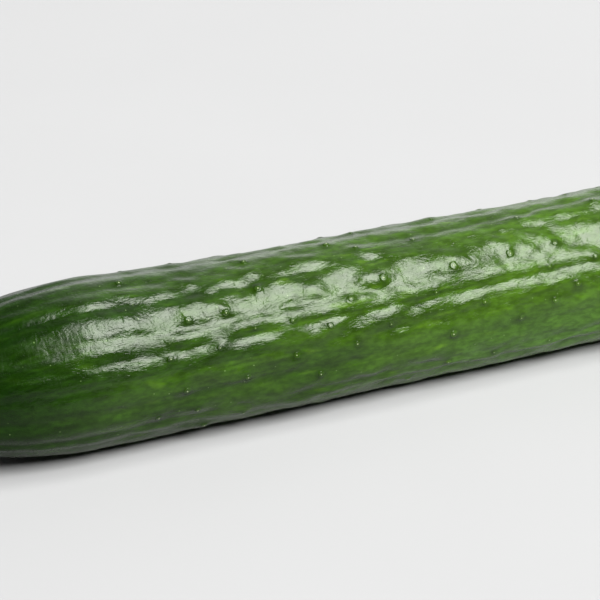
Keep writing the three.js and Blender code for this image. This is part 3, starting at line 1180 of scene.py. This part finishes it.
@dataclass
class Skin:
    """The whole skin as one closed mesh: a fine net in which each wart has a round patch."""

    form: FruitForm
    finish: WaxedSkin = WaxedSkin()
    # Spacing of the net, in mm and in shares of the form's own columns and rows
    sub_columns: tuple[float, ...] = (0.0, 0.14, 0.36, 0.66)
    sub_rows: int = 5
    stub_rings: int = 18
    neck_pitch: float = 0.75
    shoulder_pitch: float = 1.0
    neck_end: float = 32.0
    cap_rings: int = 34
    cap_turn: float = 0.94
    # Rings of a wart: the collar's share of its cell, then shares of its radius and height
    collar_rings: tuple[float, ...] = (0.6, 0.25)
    foot_share: float = 1.1
    spoke_evenness: float = 0.6
    nub_rings: tuple[tuple[float, float], ...] = (
        (1.05, 0.0), (1.0, 0.25), (0.95, 0.8), (0.9, 1.0), (0.82, 1.0),
    )
    # Rings that close the ends: shares of the radius, and how deep the scar's dish is
    stem_ring: float = 0.5
    scar_rings: tuple[tuple[float, float], ...] = ((0.86, 0.25), (0.7, 0.6), (0.45, 0.8), (0.2, 0.85))
    # Values for the finish: painted shade in the furrows and round the wart feet, and the underside
    furrow_shade_width: float = 0.16
    foot_shade_radius: float = 1.9
    foot_shade_crest: float = 0.7
    foot_shade_width: float = 0.5
    foot_shade_top_loss: float = 0.6
    belly_from: float = -0.35
    belly_to: float = 0.55

    def ring_stations(self) -> tuple[np.ndarray, int]:
        """Spaces the rings of the net along the fruit.

        Returns:
            The stations of the rings, and the number of the first ring of the wart zone.
        """
        form = self.form
        stub = np.linspace(-form.stub, 0.0, self.stub_rings, endpoint=False)
        neck = np.arange(0.0, self.neck_end, self.neck_pitch)
        shoulder = np.arange(self.neck_end, form.warts_from, self.shoulder_pitch)
        rows = form.warts_from + np.arange(form.wart_rows * self.sub_rows) * form.row_pitch / self.sub_rows
        warts_to = form.warts_from + form.wart_rows * form.row_pitch
        turns = np.linspace(0.0, self.cap_turn, self.cap_rings) * math.pi / 2
        cap = warts_to + (form.length - warts_to) * np.sin(turns)
        first = len(stub) + len(neck) + len(shoulder)
        return np.concatenate([stub, neck, shoulder, rows, cap]), first

    def column_angles(self) -> np.ndarray:
        """Spaces the columns of the net round the fruit, close together in the furrows.

        Returns:
            The angles of the columns.
        """
        form = self.form
        rising = np.array(self.sub_columns)
        falling = 1.0 - np.concatenate([[1.0], rising[:0:-1]])
        pair = np.concatenate([rising, 1.0 + falling]) * form.column_step
        return np.concatenate([pair + k * 2 * form.column_step for k in range(form.rib_count)])

    def build(self) -> bpy.types.Object:
        """Makes the skin.

        Returns:
            The finished piece.
        """
        form = self.form
        stations, first = self.ring_stations()
        angles = self.column_angles()
        around = len(angles)
        station, angle = (grid.ravel() for grid in np.meshgrid(stations, angles, indexing="ij"))
        places = [np.stack([station, angle, np.zeros_like(station)], axis=1)]
        taken = np.zeros((len(stations) - 1, around), bool)
        faces: Faces = []
        count = len(station)
        subs = len(self.sub_columns)
        for wart in form.warts:
            row = first + wart.row * self.sub_rows
            column = wart.column * subs
            taken[row : row + self.sub_rows, column : column + subs] = True
            border = self.cell_border(row, column, around)
            patch, patch_faces = self.wart_patch(wart, border, station[border], angle[border], count)
            places.append(patch)
            faces.extend(patch_faces)
            count += len(patch)
        faces.extend(self.net_faces(taken, around))
        places_all = np.concatenate(places)
        points = form.skin_points(*places_all.T)
        points, end_faces, places_all = self.close_ends(points, places_all, len(stations), around)
        faces.extend(end_faces)
        return self.finish_piece(points, faces, places_all)

    def cell_border(self, row: int, column: int, around: int) -> np.ndarray:
        """Gives the vertices round a wart's cell, in turning order.

        Args:
            row: ring at the stem side of the cell.
            column: column at the low side of the cell.
            around: number of columns.

        Returns:
            Vertex numbers, each once.
        """
        rows, subs = self.sub_rows, len(self.sub_columns)
        steps = [(0, c) for c in range(subs)] + [(r, subs) for r in range(rows)]
        steps += [(rows, subs - c) for c in range(subs)] + [(rows - r, 0) for r in range(rows)]
        return np.array([(row + r) * around + (column + c) % around for r, c in steps])

    def wart_patch(
        self, wart: Wart, border: np.ndarray, station: np.ndarray, angle: np.ndarray, start: int,
    ) -> tuple[np.ndarray, Faces]:
        """Makes the rings of one wart inside its cell.

        Args:
            wart: the wart.
            border: vertex numbers round its cell.
            station: their stations.
            angle: their angles.
            start: number of the first new vertex.

        Returns:
            One row of station, angle and height for each new vertex, and the faces.
        """
        radius = self.form.radius_at(wart.station) * wart.stretch
        along = station - wart.station
        across = np.radians(turn_between(angle, wart.angle)) * radius
        spokes = len(border)
        own = np.unwrap(np.arctan2(across, along))
        turn = math.copysign(2 * math.pi, own[-1] - own[0])
        even = own.mean() + turn * (np.arange(spokes) - (spokes - 1) / 2) / spokes
        turns = (1 - self.spoke_evenness) * own + self.spoke_evenness * even
        reach = self.form.wart_radius * wart.size
        height = self.form.wart_height * wart.size
        circle = np.stack([np.cos(turns), np.sin(turns)], axis=1)
        edge = np.stack([along, across], axis=1)
        rings = []
        for share in self.collar_rings:
            collar = share * edge + (1 - share) * circle * reach * self.foot_share
            rings.append(np.column_stack([collar, np.zeros(spokes)]))
        for share, rise in self.nub_rings:
            rings.append(np.column_stack([circle * reach * share, np.full(spokes, height * rise)]))
        rings.append(np.array([[0.0, 0.0, height]]))
        patch = np.concatenate(rings)
        patch[:, 0] += wart.station
        patch[:, 1] = wart.angle + np.degrees(patch[:, 1] / radius)
        faces: Faces = []
        ring = border
        for number in range(len(rings) - 1):
            outer, ring = ring, start + number * spokes + np.arange(spokes)
            faces.extend(band_faces(outer, ring))
        faces.extend(fan_faces(ring, start + len(patch) - 1))
        return patch, faces

    @staticmethod
    def net_faces(taken: np.ndarray, around: int) -> Faces:
        """Gives the faces of the net outside the wart cells.

        Args:
            taken: whether a wart has each cell.
            around: number of columns.

        Returns:
            One face of four for each free cell.
        """
        row, column = np.nonzero(~taken)
        after = (column + 1) % around
        a, b = row * around + column, row * around + after
        c, d = (row + 1) * around + after, (row + 1) * around + column
        return list(map(tuple, np.stack([a, b, c, d], axis=1).tolist()))

    def close_ends(
        self, points: np.ndarray, places: np.ndarray, rings: int, around: int,
    ) -> tuple[np.ndarray, Faces, np.ndarray]:
        """Closes the stem end with a flat face and the blossom end with a shallow dish.

        Args:
            points: points of the skin so far, in mm.
            places: their stations, angles and heights.
            rings: number of rings of the net.
            around: number of columns.

        Returns:
            All the points, the new faces, and all the places.
        """
        edge = np.arange(around)
        middle = points[edge].mean(axis=0)
        new_points = [points, middle + (points[edge] - middle) * self.stem_ring, middle[None]]
        new_places = [places, places[edge], places[:1]]
        inner = len(points) + edge
        tip = len(points) + around
        faces = band_faces(edge[::-1], inner[::-1]) + fan_faces(inner[::-1], tip)
        inner = (rings - 1) * around + edge
        rim, rim_places = points[inner], places[inner]
        middle = rim.mean(axis=0)
        for number, (share, sink) in enumerate(self.scar_rings):
            new_points.append(middle + (rim - middle) * share - np.array([sink, 0.0, 0.0]))
            new_places.append(rim_places)
            outer, inner = inner, tip + 1 + number * around + edge
            faces.extend(band_faces(outer, inner))
        deepest = self.scar_rings[-1][1]
        new_points.append((middle - np.array([deepest, 0.0, 0.0]))[None])
        new_places.append(rim_places[:1])
        faces.extend(fan_faces(inner, int(inner[-1]) + 1))
        return np.concatenate(new_points), faces, np.concatenate(new_places)

    def finish_piece(self, points: np.ndarray, faces: Faces, places: np.ndarray) -> bpy.types.Object:
        """Makes the object, with the values that its material reads.

        Args:
            points: all the points in mm.
            faces: all the faces.
            places: station, angle and height of each point.

        Returns:
            The dressed piece.
        """
        sizes = np.array([len(face) for face in faces])
        flat = np.concatenate([np.array(face) for face in faces])
        used, renumbered = np.unique(flat, return_inverse=True)
        ends = np.cumsum(sizes)
        kept = [tuple(renumbered[end - size : end].tolist()) for end, size in zip(ends, sizes)]
        station, angle, above = places[used].T
        piece = new_piece("cucumber_skin", points[used], kept)
        form = self.form
        radius = form.body_radius(np.full_like(station, form.shoulder))
        net = np.stack(
            [station, radius * np.cos(np.radians(angle)), radius * np.sin(np.radians(angle))], axis=1,
        )
        add_values(piece, Mark.NET.value, net)
        # Painted shade round the feet of the warts
        add_values(piece, Mark.WART.value, self.painted_foot_shade(station, angle, above))
        # Painted shade for the furrow bottoms, strongest where a furrow is deep
        place = angle / form.rib_pitch
        nearest = np.floor(place + 0.5)
        strength = form.furrow_strength(station, nearest % form.rib_count)
        bottom = np.exp(-(((place - nearest) / self.furrow_shade_width) ** 2))
        add_values(piece, Mark.FURROW_SHADE.value, strength * bottom)
        drop = -np.sin(np.radians(form.true_angle(station, angle)))
        belly = smooth((drop - self.belly_from) / (self.belly_to - self.belly_from))
        add_values(piece, Mark.BELLY.value, belly)
        self.lay_map(piece, station, angle)
        place_piece(piece, self.finish.build(), Slot.SKIN)
        LOG.info("skin: %d triangles", sum(len(face) - 2 for face in kept))
        return piece

    def painted_foot_shade(self, station: np.ndarray, angle: np.ndarray, above: np.ndarray) -> np.ndarray:
        """Gives how much painted shade each place gets round the foot of a wart, less on its top.

        Args:
            station: places along the fruit.
            angle: places round it, following the ribs.
            above: their heights on the warts.

        Returns:
            A value from 0 to 1 at each place.
        """
        form = self.form
        foot = np.zeros_like(station)
        turned = form.true_angle(station, angle)
        for wart, near, squared in form.near_warts(station, turned, self.foot_shade_radius):
            reach = np.sqrt(squared) / (self.foot_shade_radius * wart.size)
            ring = np.exp(-(((reach - self.foot_shade_crest) / self.foot_shade_width) ** 2))
            foot[near] = np.maximum(foot[near], ring)
        return foot * (1 - self.foot_shade_top_loss * smooth(above / form.wart_height))

    def lay_map(self, piece: bpy.types.Object, station: np.ndarray, angle: np.ndarray) -> None:
        """Unrolls the skin into a flat map, along and round the fruit.

        Args:
            piece: the skin.
            station: station of each vertex.
            angle: angle of each vertex.
        """
        mesh = piece.data
        layer = mesh.uv_layers.new(name="OFBake")
        corners = np.zeros(len(mesh.loops), np.int32)
        mesh.loops.foreach_get("vertex_index", corners)
        starts = np.zeros(len(mesh.polygons), np.int32)
        mesh.polygons.foreach_get("loop_start", starts)
        totals = np.zeros(len(mesh.polygons), np.int32)
        mesh.polygons.foreach_get("loop_total", totals)
        base = np.repeat(angle[corners[starts]], totals)
        across = base + turn_between(angle[corners], base)
        low = np.repeat(np.minimum.reduceat(across, starts), totals)
        across = (across - 360.0 * np.floor(low / 360.0)) / (360.0 + self.form.column_step)
        along = (station[corners] + self.form.stub) / (self.form.length + self.form.stub)
        layer.data.foreach_set("uv", np.stack([across, along], axis=1).astype(np.float32).ravel())


@dataclass
class WartTips:
    """The pale dry tips of all the warts, each a small dome with a dimple on top of its wart.

    Heights are above the top of the wart, and shares are of the tip's radius.
    """

    form: FruitForm
    finish: DryTip = DryTip()
    radius: float = 0.21
    sunk: float = 0.12
    edge_share: float = 0.92
    edge_rise: float = 0.03
    crown_share: float = 0.55
    crown_rise: float = 0.045
    dimple: float = 0.04
    sides: int = 12

    def build(self) -> bpy.types.Object:
        """Makes the tips as one piece.

        Returns:
            The dressed piece.
        """
        form, sides = self.form, self.sides
        turns = ring_turns(sides)
        circle = np.stack([np.cos(turns), np.sin(turns)], axis=1) * self.radius
        rows: list[np.ndarray] = []
        faces: Faces = []
        for wart in form.warts:
            height = form.wart_height * wart.size
            crown = height + self.crown_rise * wart.size
            rings = [
                np.column_stack([circle * wart.size * share, np.full(sides, rise)])
                for share, rise in (
                    (1.0, height - self.sunk),
                    (self.edge_share, height + self.edge_rise),
                    (self.crown_share, crown),
                )
            ]
            faces.extend(button_faces(len(rings), sides, start=sum(len(row) for row in rows)))
            middles = np.array([[0.0, 0.0, crown - self.dimple], [0.0, 0.0, height - self.sunk]])
            tip = np.concatenate([*rings, middles])
            tip[:, 0] += wart.station
            tip[:, 1] = wart.angle - np.degrees(tip[:, 1] / (form.radius_at(wart.station) * wart.stretch))
            rows.append(tip)
        piece = new_piece("wart_tips", form.skin_points(*np.concatenate(rows).T), faces)
        place_piece(piece, self.finish.build(), Slot.WART_TIP)
        return piece


@dataclass
class StemCut:
    """The cut face of the stem: a shallow rough lens with a pit and a ring of fibre bundles.

    Places on it are shares of its radius, counted from its middle.
    """

    form: FruitForm
    finish: CutStemFibre = CutStemFibre()
    share: float = 0.93
    bulge: float = 0.35
    bulge_power: int = 4
    bundles: int = 9
    bundle_place: float = 0.6
    bundle_spread: float = 0.13
    bundle_rise: float = 0.12
    pit_spread: float = 0.25
    pit_depth: float = 0.12
    back: float = 0.4
    rings: int = 14
    sides: int = 60

    def build(self) -> bpy.types.Object:
        """Makes the cut face.

        Returns:
            The dressed piece.
        """
        radius = self.form.radius_at(-self.form.stub) * self.share
        turns = ring_turns(self.sides)
        lobes = (0.5 + 0.5 * np.cos(self.bundles * turns)) ** 2
        middles = np.zeros(2)
        rows, reaches, bundles = [], [], []
        for share in np.linspace(1.0, 0.0, self.rings, endpoint=False):
            bundle = math.exp(-(((share - self.bundle_place) / self.bundle_spread) ** 2)) * lobes
            proud = self.bulge * math.sqrt(1 - share**self.bulge_power) + self.bundle_rise * bundle
            proud -= self.pit_depth * math.exp(-((share / self.pit_spread) ** 2))
            reach = radius * share
            rows.append(np.stack([-proud, reach * np.cos(turns), reach * np.sin(turns)], axis=1))
            reaches.append(np.full(self.sides, share))
            bundles.append(bundle)
        rows.append(np.array([[self.pit_depth - self.bulge, 0.0, 0.0], [self.back, 0.0, 0.0]]))
        points = self.form.end_points(-self.form.stub, np.concatenate(rows))
        piece = new_piece("stem_cut_face", points, button_faces(self.rings, self.sides, mirrored=True))
        for mark, values in ((CutMark.RADIUS, reaches), (CutMark.BUNDLE, bundles)):
            add_values(piece, mark.value, np.concatenate([*values, middles]))
        place_piece(piece, self.finish.build(), Slot.CUT_STEM)
        return piece


@dataclass
class BlossomScar:
    """The corky scar in the dish at the blossom end: a button with a ragged edge and a torn middle.

    The torn middle starts at a share of the radius and falls to a share of the height.
    """

    form: FruitForm
    finish: CorkyScar = CorkyScar()
    radius: float = 2.6
    ragged_waves: tuple[int, int] = (3, 9)
    ragged_share: float = 0.05
    rise: float = 0.7
    rise_power: int = 3
    torn_from: float = 0.45
    torn_height: float = 0.45
    pit_height: float = 0.35
    crumb: float = 0.16
    sunk: float = 1.35
    back: float = 0.4
    rings: int = 12
    sides: int = 48
    seed: int = 17

    def build(self) -> bpy.types.Object:
        """Makes the scar.

        Returns:
            The dressed piece.
        """
        draw = SeededDraws(self.seed)
        turns = ring_turns(self.sides)
        ragged = np.ones(self.sides)
        for waves in range(*self.ragged_waves):
            ragged += self.ragged_share * draw() * np.cos(waves * turns + 2 * math.pi * draw())
        rows = []
        for share in np.linspace(1.0, 0.0, self.rings, endpoint=False):
            crumbs = np.array([draw() - 0.5 for _ in range(self.sides)]) * self.crumb * (share < 1.0)
            whole = self.torn_height + (1 - self.torn_height) * min(share / self.torn_from, 1.0)
            height = self.rise * math.sqrt(1 - share**self.rise_power) * whole + crumbs
            reach = self.radius * share * ragged
            rows.append(np.stack([height, reach * np.cos(turns), reach * np.sin(turns)], axis=1))
        rows.append(np.array([[self.rise * self.pit_height, 0.0, 0.0], [-self.back, 0.0, 0.0]]))
        local = np.concatenate(rows) - np.array([self.sunk, 0.0, 0.0])
        points = self.form.end_points(self.form.length, local)
        piece = new_piece("blossom_scar", points, button_faces(self.rings, self.sides))
        place_piece(piece, self.finish.build(), Slot.BLOSSOM_SCAR)
        return piece


@dataclass(frozen=True)
class Softbox:
    """One soft light above the fruit, on the camera's side. Its sizes are shares of its distance."""

    name: str
    radiance: float
    distance: float = 9.0
    angle: float = 118.8
    half_angle: float = 25.3
    left: float = 0.165
    right: float = 0.62
    inset: float = 0.0
    mirrored: bool = True

    def hang(self) -> None:
        """Hangs the light."""
        light = bpy.data.lights.new(self.name, "AREA")
        light.shape = "RECTANGLE"
        light.size = (self.right - self.left - 2 * self.inset) * self.distance
        light.size_y = 2 * (math.tan(math.radians(self.half_angle)) - self.inset) * self.distance
        light.energy = self.radiance * math.pi * light.size * light.size_y
        lamp = bpy.data.objects.new(self.name, light)
        turn = math.radians(self.angle)
        out = Vector((0.0, math.cos(turn), math.sin(turn)))
        middle = (self.left + self.right) / 2
        lamp.location = (out + Vector((middle, 0.0, 0.0))) * self.distance
        lamp.rotation_mode = "QUATERNION"
        lamp.rotation_quaternion = out.to_track_quat("Z", "Y")
        lamp.visible_camera = False
        lamp.visible_glossy = self.mirrored
        bpy.context.scene.collection.objects.link(lamp)


class Axis(Enum):
    """Axes of the shared frame, by the names of their sockets."""

    ALONG = "X"
    ACROSS = "Y"
    UP = "Z"


@dataclass(frozen=True)
class RoomChange:
    """How the light of the room changes along one axis of the direction it comes from."""

    axis: Axis
    start: float
    end: float
    first: float
    last: float


@dataclass
class Studio:
    """Pale floor, soft light and the camera. Lengths in metres, and the camera's aim in mm."""

    form: FruitForm
    board: PaintedBoard = PaintedBoard()
    floor_radius: float = 4.0
    floor_sides: int = 96
    room_colour: str = "fdfdff"
    room_changes: tuple[RoomChange, ...] = (
        RoomChange(Axis.ACROSS, 0.0, 0.6, 0.1, 1.6),
        RoomChange(Axis.UP, 0.15, 0.65, 1.0, 0.5),
        RoomChange(Axis.ALONG, -0.1, 0.4, 0.15, 1.15),
    )
    softboxes: tuple[Softbox, ...] = (
        Softbox("softbox_cloth", radiance=7.4),
        Softbox("softbox_inner", radiance=6.0, distance=8.9, inset=0.04),
        Softbox("softbox_middle", radiance=6.8, distance=8.8, inset=0.1),
        Softbox(
            "floor_fill", radiance=19.8, angle=130.0, half_angle=12.0, left=-0.1, right=0.6,
            mirrored=False,
        ),
    )
    camera_azimuth: float = -23.22
    camera_elevation: float = 28.0
    camera_distance: float = 0.7
    camera_lens: float = 149.53
    camera_sensor: float = 36.0
    camera_aim_station: float = 133.0
    camera_aim_height: float = 22.5
    camera_aim_right: float = -5.38
    camera_aim_up: float = 5.13

    def build(self) -> None:
        """Makes the floor, the lights, the surroundings and the camera."""
        self.lay_floor()
        for softbox in self.softboxes:
            softbox.hang()
        self.light_room()
        self.set_camera()
        bpy.context.scene.view_settings.view_transform = "Standard"

    def lay_floor(self) -> None:
        """Lays a round floor under the fruit."""
        turns = ring_turns(self.floor_sides)
        edge = np.stack([np.cos(turns), np.sin(turns), np.zeros_like(turns)], axis=1) * self.floor_radius
        floor = new_piece("studio_floor", edge / MM, [tuple(range(self.floor_sides))])
        floor.data.materials.append(self.board.build())

    def light_room(self) -> None:
        """Gives the room round the fruit its light: a pale wall behind, dim elsewhere."""
        world = bpy.data.worlds.new("studio_room")
        world.use_nodes = True
        tree = world.node_tree
        tree.nodes.clear()
        way = add_node(tree, "ShaderNodeTexCoord").outputs["Generated"]
        axes = add_node(tree, "ShaderNodeSeparateXYZ", {"Vector": way})
        strength = 1.0
        for change in self.room_changes:
            inputs = {"Value": axes.outputs[change.axis.value]}
            inputs |= {"From Min": change.start, "From Max": change.end}
            inputs |= {"To Min": change.first, "To Max": change.last}
            share = add_node(tree, "ShaderNodeMapRange", inputs, interpolation_type="SMOOTHSTEP")
            factors = {0: strength, 1: share.outputs["Result"]}
            strength = add_node(tree, "ShaderNodeMath", factors, operation="MULTIPLY").outputs[0]
        inputs = {"Color": linear(self.room_colour), "Strength": strength}
        sky = add_node(tree, "ShaderNodeBackground", inputs)
        add_node(tree, "ShaderNodeOutputWorld", {"Surface": sky.outputs[0]})
        bpy.context.scene.world = world

    def set_camera(self) -> None:
        """Sets the camera at the photograph's viewing angle."""
        turn, rise = math.radians(self.camera_azimuth), math.radians(self.camera_elevation)
        level = math.cos(rise)
        back = Vector((math.sin(turn) * level, -math.cos(turn) * level, math.sin(rise)))
        right = Vector((math.cos(turn), math.sin(turn), 0.0))
        up = back.cross(right)
        _, x, y, _ = (float(v[0]) for v in self.form.centre_line(np.array([self.camera_aim_station])))
        aim = Vector((x, y, self.camera_aim_height)) * MM
        aim += right * self.camera_aim_right * MM + up * self.camera_aim_up * MM
        camera = bpy.data.cameras.new("camera")
        camera.lens = self.camera_lens
        camera.sensor_width = self.camera_sensor
        eye = bpy.data.objects.new("camera", camera)
        eye.location = aim + back * self.camera_distance
        eye.rotation_mode = "QUATERNION"
        eye.rotation_quaternion = back.to_track_quat("Z", "Y")
        bpy.context.scene.collection.objects.link(eye)
        bpy.context.scene.camera = eye


def main() -> None:
    """Builds the pieces of the fruit and the studio round it."""
    logging.basicConfig(level=logging.INFO, format="%(message)s")
    form = FruitForm()
    LOG.info("%d warts", len(form.warts))
    Studio(form).build()
    Skin(form).build()
    WartTips(form).build()
    StemCut(form).build()
    BlossomScar(form).build()


if __name__ == "__main__":
    main()
